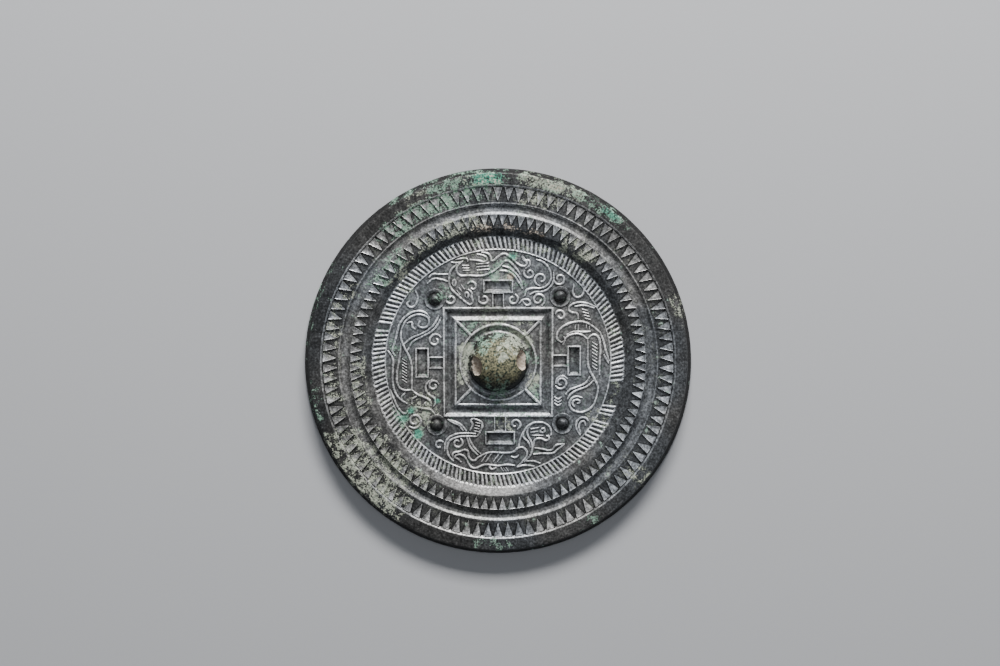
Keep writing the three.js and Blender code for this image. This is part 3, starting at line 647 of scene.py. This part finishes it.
ring_form = bmesh.new()
ring_section = bmesh.ops.create_circle(ring_form, segments=12, radius=1)["verts"]
ring_shape = Matrix.Translation((moat_radius + 0.25, 0, field_level - 0.04)) @ Matrix.Diagonal(
    (0.6, 1, line_rise, 1)
) @ Matrix.Rotation(math.pi / 2, 4, "X")
bmesh.ops.transform(ring_form, matrix=ring_shape, verts=ring_section)
bmesh.ops.spin(
    ring_form, geom=ring_form.verts[:] + ring_form.edges[:], cent=(0, 0, 0), axis=(0, 0, 1),
    angle=2 * math.pi, steps=120, use_merge=True,
)
set_down("knob_ring", ring_form, added)

ridge_end = (moat_radius + 0.2) * math.sqrt(0.5)
for number, (x, y) in enumerate(((1, 1), (-1, 1), (-1, -1), (1, -1))):
    route = [(inner_half * x, inner_half * y), (ridge_end * x, ridge_end * y)]
    bead(f"corner_ridge_{number}", route, 1.25, pointed=False)

moat = [
    (0, field_level - 0.04), (knob_radius + 0.1, field_level - 0.04),
    (knob_radius + 0.55, knob_foot + 0.1),
    (knob_radius + 0.95, knob_foot - 0.14), (knob_radius + 1.3, knob_foot - 0.14),
    (knob_radius + 1.8, knob_foot + 0.08), (knob_radius + 2.4, field_level - 0.1),
    (moat_radius - 0.15, field_level + 0.12),
    (moat_radius - 0.1, field_level + 1), (0, field_level + 1),
]
set_down("moat", turned(moat, 120), hollowed)

boss = []
for share in (0, 0.06, 0.13, 0.21, 0.3, 0.4, 0.5, 0.6, 0.7, 0.8, 0.9):
    angle = share * math.pi / 2
    boss.append((knob_radius * math.cos(angle), knob_foot + knob_height * math.sin(angle)))
knob_top = knob_foot + knob_height
boss_root = knob_foot - 0.4
boss_profile = [(0, boss_root), (knob_radius, boss_root), *boss, (0, knob_top)]
knob_batch = batch_of("knob_batch")
set_down("boss", turned(boss_profile, 96), knob_batch)

# The cord hole has a flat floor, widens towards its mouths and rises towards its left one.
hole_floor = knob_foot + 1.7
hole_length = 26
hole_half_width = 3.6
hole_half_height = 3.0
hole_middle = 1.9
hole_turn = math.radians(6.5)
hole_bend = -4
hole_rise = 0.22
hole_form = bmesh.new()
bmesh.ops.create_cone(hole_form, segments=32, cap_ends=True, radius1=1, radius2=1, depth=hole_length)
sides = [edge for edge in hole_form.edges if edge.calc_length() > 20]
bmesh.ops.subdivide_edges(hole_form, edges=sides, cuts=24)
laid_down = Matrix.Rotation(math.pi / 2, 3, "Y")
bmesh.ops.rotate(hole_form, verts=hole_form.verts, cent=(0, 0, 0), matrix=laid_down)
for corner in hole_form.verts:
    flare = 0.86 + 0.16 * min(1, abs(corner.co.x) / 9) ** 2
    corner.co.y *= hole_half_width * flare
    corner.co.z = corner.co.z * hole_half_height * flare + hole_middle
bmesh.ops.bisect_plane(
    hole_form, geom=hole_form.verts[:] + hole_form.edges[:] + hole_form.faces[:],
    plane_co=(0, 0, 0), plane_no=(0, 0, -1), clear_outer=True,
)
bmesh.ops.holes_fill(hole_form, edges=[edge for edge in hole_form.edges if edge.is_boundary])
for corner in hole_form.verts:
    corner.co.z += hole_rise * max(0, hole_bend - corner.co.x)
hole_place = Matrix.Translation((0.3, 0, hole_floor)) @ Matrix.Rotation(hole_turn, 4, "Z")
bmesh.ops.transform(hole_form, matrix=hole_place, verts=hole_form.verts)
bored = batch_of("bored")
set_down("cord_hole", hole_form, bored)

# The casting: the mould's parts are run together into one skin of bronze, which is then made
# uneven as old metal is, kept within the model's own size, and laid in the frame in metres.
for label, work, batch in (
    ("relief", "UNION", added), ("gutters", "DIFFERENCE", hollowed),
    ("boss", "UNION", knob_batch), ("bore", "DIFFERENCE", bored),
):
    joining = blank.modifiers.new(label, "BOOLEAN")
    joining.operation = work
    joining.operand_type = "COLLECTION"
    joining.collection = batch
    joining.solver = "MANIFOLD"
bpy.context.view_layer.update()
poured = bpy.data.meshes.new_from_object(blank.evaluated_get(bpy.context.evaluated_depsgraph_get()))
for thing in list(workshop.all_objects):
    bpy.data.objects.remove(thing)
for batch in list(workshop.children):
    bpy.data.collections.remove(batch)
bpy.data.collections.remove(workshop)

weld_distance = 0.012
sliver_size = 0.01
longest_edge = 2.2
smooth_below = 1.2
swell_scale = 0.22
pit_scale = 0.75
pit_shift = Vector((7, 3, 1))
skin_loss = 0.03
skin = bmesh.new()
skin.from_mesh(poured)
bmesh.ops.remove_doubles(skin, verts=skin.verts, dist=weld_distance)
bmesh.ops.dissolve_degenerate(skin, dist=sliver_size, edges=skin.edges)
bmesh.ops.triangulate(skin, faces=skin.faces)
long_edges = []
for edge in skin.edges:
    if edge.calc_length() > longest_edge and max(corner.co.z for corner in edge.verts) > 2:
        long_edges.append(edge)
bmesh.ops.subdivide_edges(skin, edges=long_edges, cuts=1)
bmesh.ops.triangulate(skin, faces=skin.faces)
skin.normal_update()
for vert in skin.verts:
    start = vert.co.copy()
    if start.z < smooth_below:
        continue
    on_boss = max(0, min(1, (knob_radius + 0.6 - math.hypot(start.x, start.y)) / 1.5))
    swell = noise.noise(start * swell_scale) * (0.05 + 0.06 * on_boss)
    pit = noise.noise(start * pit_scale + pit_shift) * (0.045 + 0.1 * on_boss)
    vert.co += vert.normal * (swell + pit - skin_loss)
    reach = math.hypot(vert.co.x, vert.co.y)
    if reach > mirror_radius:
        vert.co.x *= mirror_radius / reach
        vert.co.y *= mirror_radius / reach
    vert.co.z = min(vert.co.z, knob_top)

# The patina: each entry is a soft-edged patch of crust. A ring patch has its first and last
# angle and its inner and outer radius, a spot its middle and size. The last number of both is
# their strength, which says how thick the crust lies.
ring_patches = [
    ("green", 86, 100, 64.2, 69.6, 0.8), ("soil", 84, 102, 64.5, 69, 0.2),
    ("cream", 61, 86, 64.5, 70, 0.62), ("green", 58, 90, 64.5, 70, 0.36), ("soil", 66, 84, 65, 69, 0.2),
    ("green", 47, 59, 65, 69, 0.72), ("green", 84, 127, 68.6, 71, 0.7),
    ("green", 148, 176, 68.6, 71, 0.6), ("green", 186, 199, 66.5, 70, 0.5),
    ("cream", 203, 238, 57, 69.5, 0.56), ("cream", 206, 240, 48.5, 57, 0.42),
    ("green", 94, 131, 58, 64.5, 0.52), ("cream", 98, 126, 58, 65, 0.4),
    ("cream", 68, 84, 58, 63.5, 0.35), ("cream", 46, 64, 46, 53, 0.5),
    ("green", 128, 150, 49, 56, 0.42), ("cream", 96, 140, 48, 54, 0.4), ("cream", 12, 22, 66, 70, 0.5),
    ("green", 100, 112, 64, 68, 0.55), ("cream", 112, 122, 64, 68, 0.4),
    ("cream", 318, 324, 60, 70, 0.45), ("soil", 70, 104, 47.5, 50, 0.3),
    ("cream", 150, 200, 57, 63, 0.26), ("green", 262, 276, 64, 69, 0.3),
    ("green", 296, 304, 64, 69, 0.3), ("cream", 174, 200, 48, 53.5, 0.26),
    ("green", 0, 360, 10, 45, 0.1), ("cream", 0, 360, 41.5, 45, 0.2), ("cream", 0, 360, 48.5, 63, 0.1),
]
spot_patches = [
    ("green", 5.3, 38.5, 1.6, 0.8), ("green", -2, 31.5, 2.6, 0.6), ("cream", 2.4, 31.2, 3.2, 0.6),
    ("soil", 4.3, 31, 1.1, 0.8), ("green", -20, 25, 2.4, 0.55), ("green", -29, -26, 2.0, 0.85),
    ("green", -34.5, -20, 2.6, 0.7), ("green", -31.5, -17.5, 1.6, 0.75),
    ("green", -22.3, -14, 1.5, 0.75), ("cream", -27, -16, 5.5, 0.55), ("cream", -31, -22, 5, 0.52),
    ("cream", -11.4, 4.6, 2.6, 0.9), ("cream", -12.4, -0.5, 2.4, 0.75), ("cream", -12.4, -6, 2.6, 0.55),
    ("cream", 9.4, 7.4, 2.6, 0.8), ("cream", 13.2, -7.5, 3, 0.8), ("green", 14, -10, 2.6, 0.55),
    ("cream", -3, 14.5, 5, 0.56), ("green", -10, 13.8, 4.2, 0.52), ("cream", 3, -14.6, 2.4, 0.45),
    ("cream", -16.6, -9, 2.2, 0.45), ("green", -37, 5, 2.5, 0.35), ("cream", -35, 29, 4.5, 0.35),
    ("green", -41, 12, 2, 0.4), ("cream", 4.5, 6.5, 4.6, 0.6), ("cream", 1.4, 2.2, 1.3, 0.8),
    ("green", -1, -9.2, 4.4, 0.5), ("green", -6, 7, 3.4, 0.5), ("cream", -8, 1, 2.4, 0.4),
    ("green", 0, 10.4, 3.4, 0.45), ("cream", 36, -20, 4, 0.35), ("green", 8.3, 27, 2.4, 0.45),
    ("cream", -10, 36, 5, 0.22), ("cream", 2, -22, 4, 0.4), ("green", -3, -17.5, 4, 0.35),
    ("cream", -5, 33, 5, 0.22), ("green", 3, 34, 4, 0.42), ("cream", 8, 14.5, 4, 0.4),
    ("green", 12, 2, 3, 0.45),
]
marks = skin.verts.layers.float_color.new("patina")
tones = skin.verts.layers.float.new("tone")

# How light the bare metal is in each place, and how much lighter its raised parts are, partly from wear
# and partly as painted highlight; some tones also hold painted shade and light.
face_tone = 0.16
# painted shade: the outer side wall is painted nearly black
wall_shade_tone = 0.014
rim_tone = 0.058
# painted highlight: the rim's inner slope is painted light all round, more on the +Y side towards the
# light
rim_edge_highlight_tone = 0.26
# tooth bands: the ground between teeth is dark, partly grime and partly painted shade; the sides and
# crown edges are light, partly wear and partly painted highlight
tooth_gap_grime_and_shade_tone = 0.07
tooth_side_wear_and_highlight_gain = 0.2
tooth_top_wear_and_highlight_gain = 0.55
groove_tone = 0.17
# the groove's raised lips are lighter: partly wear, partly painted highlight
groove_lip_wear_and_highlight_tone = 0.3
bevel_tone = 0.115
comb_gap_tone = 0.09
# comb strokes lighter than their gaps: partly wear, partly painted highlight
comb_wear_and_highlight_gain = 0.82
boss_tone = 0.035
nipple_tone = 0.05
seat_tone = 0.15
# nipple seat rims lighter: partly wear, partly painted highlight
seat_wear_and_highlight_gain = 0.1
gutter_tone = 0.34
# painted shade: the square's gutter is painted darker the deeper it goes
gutter_depth_shade = 0.22
moat_tone = 0.25
field_tone = 0.155
# raised figure lines lighter than the field: partly wear, partly painted highlight
relief_wear_and_highlight_gain = 0.6


def soft_step(value):
    value = max(0, min(1, value))
    return value * value * (3 - 2 * value)


def tooth_tone(lift):
    """Lift is the height above the ground as a share of a tooth's."""
    # dark ground is partly painted shade, light crown partly painted highlight
    side = tooth_side_wear_and_highlight_gain * soft_step(lift / 0.6)
    return tooth_gap_grime_and_shade_tone + side + tooth_top_wear_and_highlight_gain * soft_step((lift - 0.86) / 0.08)


def bare_tone(x, y, z, reach):
    """How light the bare metal is: pale on the raised marks, partly worn and partly painted highlight,
    and dark in the ground, partly grime and partly painted shade.
    """
    if z < 0.95:
        return face_tone
    # painted shade on the outer side wall
    if reach > rim_outer_radius + 0.2:
        return wall_shade_tone
    if reach > rim_inner_radius + 0.1:
        # painted light: the rim is a little lighter towards +X, the side the light leans to
        return rim_tone + 0.014 * x / mirror_radius
    # painted highlight along the rim's inner edge, stronger towards +Y
    if reach > outer_teeth_radius + 0.15:
        return rim_edge_highlight_tone + 0.5 * max(0, y / mirror_radius)
    lift = (z - teeth_level) / tooth_height
    if reach > groove_radius + 0.45:
        return tooth_tone(lift)
    if reach > inner_teeth_radius - 0.15:
        # lighter lips: partly wear, partly painted highlight
        return groove_lip_wear_and_highlight_tone if z > teeth_level + 0.02 else groove_tone
    if reach > bevel_radius + 0.1:
        return tooth_tone(lift)
    if reach > comb_radius + 0.5:
        # painted shade: the bevel is a little darker towards -Y, the side away from the light
        return bevel_tone - 0.03 * max(0, -y / bevel_radius)
    # raised parts lighter: partly wear, partly painted highlight
    lift = soft_step((z - field_level) / line_height / 0.65)
    if reach > field_radius + 0.6:
        return comb_gap_tone + comb_wear_and_highlight_gain * lift
    if reach < knob_radius + 0.5:
        return boss_tone
    for middle_x, middle_y in nipples:
        away = math.hypot(x - middle_x, y - middle_y)
        if away < nipple_seat * 1.04:
            return nipple_tone if away < nipple_radius + 0.1 else seat_tone + seat_wear_and_highlight_gain * lift
    across = max(abs(x), abs(y))
    # painted shade deepening towards the gutter's floor
    if z < field_level and inner_half + 0.2 < across < square_half - 0.2:
        return gutter_tone - gutter_depth_shade * soft_step((field_level - z) / 0.7)
    if reach < moat_radius:
        return moat_tone
    # painted light: the field is a little lighter towards +Y, the light's side
    return field_tone + 0.035 * y / field_radius + relief_wear_and_highlight_gain * lift


whole_ring = 360
edge_angle = 3
edge_width = 1.2
spot_fringe = 1.6
soil_half_width = 3.8
soil_depth = 0.35
unturned = Matrix.Rotation(-hole_turn, 3, "Z")
for vert in skin.verts:
    x, y, z = vert.co
    reach = math.hypot(x, y)
    degrees = math.degrees(math.atan2(y, x)) % 360
    crust = {"green": 0.0, "cream": 0.0, "soil": 0.0}
    if z > 0.5:
        for kind, first, last, inner, outer, strength in ring_patches:
            inside = min(degrees - first, last - degrees) if last - first < whole_ring else 9
            across = min(reach - inner, outer - reach)
            if inside > -edge_angle and across > -edge_width:
                amount = strength * soft_step((inside + edge_angle) / 7)
                amount *= soft_step((across + edge_width) / 2)
                crust[kind] = max(crust[kind], amount)
        for kind, middle_x, middle_y, size, strength in spot_patches:
            away = math.hypot(x - middle_x, y - middle_y)
            if away < size * spot_fringe:
                crust[kind] = max(crust[kind], strength * soft_step(spot_fringe - away / size))
    in_hole = abs((unturned @ vert.co).y) < soil_half_width and z > hole_floor - 0.3
    boss_skin = knob_foot + knob_height * math.sqrt(max(0, 1 - (reach / knob_radius) ** 2))
    if in_hole and reach < knob_radius + 0.1 and z < boss_skin - soil_depth:
        crust["soil"] = 1.6
    olive = soft_step((knob_radius - 0.4 - reach) / 3) * soft_step((y + 11) / 6)
    if reach > rim_outer_radius + 0.3:
        for kind in crust:
            crust[kind] *= 0.4
    vert[marks] = (crust["green"], crust["cream"], crust["soil"], olive)
    vert[tones] = bare_tone(x, y, z, reach)

bmesh.ops.scale(skin, vec=(unit, unit, unit), verts=skin.verts)
casting_mesh = bpy.data.meshes.new("mirror_casting")
skin.to_mesh(casting_mesh)
skin.free()
casting_mesh.shade_smooth()
casting_mesh.set_sharp_from_angle(angle=math.radians(38))
casting = bpy.data.objects.new("mirror_casting", casting_mesh)
bpy.context.scene.collection.objects.link(casting)
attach(casting, "root")
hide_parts("mirror")

# The finish: dark silvery bronze, greyer and lighter on the raised lines, partly worn by hands and
# cleaning and partly painted highlight, darkened in the creases by painted shade, with green, cream and
# soil crusts that have ragged edges and grit.
bronze = bpy.data.materials.new("old_bronze")
bronze.use_nodes = True
tree = bronze.node_tree
shader = tree.nodes["Principled BSDF"]
object_space = tree.nodes.new("ShaderNodeTexCoord").outputs["Object"]


def cloud(scale, detail, rough=0.55):
    texture = tree.nodes.new("ShaderNodeTexNoise")
    texture.inputs["Scale"].default_value = scale
    texture.inputs["Detail"].default_value = detail
    texture.inputs["Roughness"].default_value = rough
    tree.links.new(object_space, texture.inputs["Vector"])
    return texture.outputs["Fac"]


def combine(work, first, second):
    """One sum of two values, each a number or another node's output."""
    node = tree.nodes.new("ShaderNodeMath")
    node.operation = work
    for socket, value in zip(node.inputs, (first, second)):
        if isinstance(value, (int, float)):
            socket.default_value = value
        else:
            tree.links.new(value, socket)
    return node.outputs[0]


def fade(value, low, high, start=0.0, end=1.0):
    """Goes softly from start to end while the value goes from low to high."""
    node = tree.nodes.new("ShaderNodeMapRange")
    node.interpolation_type = "SMOOTHSTEP"
    tree.links.new(value, node.inputs["Value"])
    for name, number in (("From Min", low), ("From Max", high), ("To Min", start), ("To Max", end)):
        node.inputs[name].default_value = number
    return node.outputs["Result"]


def tint(mask, under, over):
    """Lays one colour over another where the mask is one."""
    node = tree.nodes.new("ShaderNodeMix")
    node.data_type = "RGBA"
    tree.links.new(mask, node.inputs["Factor"])
    for socket, colour in ((node.inputs[6], under), (node.inputs[7], over)):
        if isinstance(colour, tuple):
            socket.default_value = (*colour, 1)
        else:
            tree.links.new(colour, socket)
    return node.outputs[2]


def read(name):
    node = tree.nodes.new("ShaderNodeAttribute")
    node.attribute_name = name
    return node


def shade(tone, colour):
    """Scales a colour by a tone."""
    node = tree.nodes.new("ShaderNodeVectorMath")
    node.operation = "SCALE"
    node.inputs[0].default_value = colour
    tree.links.new(tone, node.inputs["Scale"])
    return node.outputs[0]


patina = read("patina")
bare = read("tone").outputs["Fac"]
kinds = tree.nodes.new("ShaderNodeSeparateColor")
tree.links.new(patina.outputs["Color"], kinds.inputs["Color"])

broad = cloud(45, 4)
mottle = cloud(380, 6, 0.62)
grit = cloud(1300, 5, 0.65)
crease_shade = tree.nodes.new("ShaderNodeAmbientOcclusion")
crease_shade.only_local = True
crease_shade.samples = 8
crease_shade.inputs["Distance"].default_value = 0.001
# painted shade: the tone is darkened in creases and at the feet of the ridges
tone = combine("MULTIPLY", bare, fade(crease_shade.outputs["AO"], 0.6, 0.95, 0.05, 1))
for unevenness in (
    fade(broad, 0.35, 0.66, 0.78, 1.2),
    fade(mottle, 0.34, 0.68, 0.7, 1.4),
    fade(grit, 0.36, 0.66, 0.52, 1.75),
):
    tone = combine("MULTIPLY", tone, unevenness)
tone = combine("ADD", tone, fade(grit, 0.6, 0.72, 0, 0.14))
warm = shade(tone, (1.0, 0.99, 0.97))
cool = shade(tone, (0.93, 0.99, 1.06))
metal = tint(fade(cloud(28, 3), 0.42, 0.6), warm, cool)
olive_colour = tint(fade(grit, 0.4, 0.6), (0.02, 0.035, 0.025), (0.34, 0.32, 0.19))
olive_mask = combine("MULTIPLY", patina.outputs["Alpha"], fade(mottle, 0.3, 0.55, 0.4, 1))
metal = tint(olive_mask, metal, olive_colour)

broad_rags = fade(cloud(330, 5), 0.3, 0.7, -0.45, 0.45)
fine_rags = fade(cloud(1500, 6, 0.7), 0.3, 0.7, -0.55, 0.55)
ragged = combine("ADD", broad_rags, fine_rags)


def crust_mask(amount):
    """Where a crust lies: it breaks into ragged islands as its amount falls."""
    present = fade(amount, 0.03, 0.22)
    return combine("MULTIPLY", present, fade(combine("ADD", amount, ragged), 0.48, 0.72, 0, 0.92))


soil_mask = crust_mask(kinds.outputs["Blue"])
cream_mask = crust_mask(kinds.outputs["Green"])
green_mask = crust_mask(kinds.outputs["Red"])
specks = fade(cloud(330, 3, 0.5), 0.69, 0.73)
grain = fade(grit, 0.36, 0.64)
pale_green = tint(grain, (0.12, 0.24, 0.17), (0.38, 0.54, 0.43))
turquoise = tint(grain, (0.015, 0.17, 0.12), (0.16, 0.54, 0.37))
green_colour = tint(fade(kinds.outputs["Red"], 0.58, 0.78), pale_green, turquoise)
cream_colour = tint(grain, (0.25, 0.29, 0.23), (0.6, 0.62, 0.5))
soil_colour = tint(grain, (0.42, 0.33, 0.25), (0.78, 0.7, 0.6))
surface = tint(specks, metal, (0.25, 0.36, 0.3))
surface = tint(cream_mask, surface, cream_colour)
surface = tint(green_mask, surface, green_colour)
surface = tint(soil_mask, surface, soil_colour)
tree.links.new(surface, shader.inputs["Base Color"])

crusted = patina.outputs["Alpha"]
for mask in (green_mask, cream_mask, soil_mask, specks):
    crusted = combine("MAXIMUM", crusted, mask)
tree.links.new(fade(crusted, 0, 1, 0.6, 0), shader.inputs["Metallic"])
sheen = combine("ADD", fade(mottle, 0.35, 0.7, 0.34, 0.5), combine("MULTIPLY", crusted, 0.35))
sheen = combine("ADD", sheen, fade(bare, 0.02, 0.07, 0.3, 0))
tree.links.new(sheen, shader.inputs["Roughness"])

heights = combine("ADD", combine("MULTIPLY", mottle, 0.5), combine("MULTIPLY", grit, 0.25))
heights = combine("ADD", heights, combine("MULTIPLY", crusted, 0.35))
bump = tree.nodes.new("ShaderNodeBump")
bump.inputs["Strength"].default_value = 0.5
bump.inputs["Distance"].default_value = 0.00022
tree.links.new(heights, bump.inputs["Height"])
tree.links.new(bump.outputs["Normal"], shader.inputs["Normal"])
casting_mesh.materials.append(bronze)
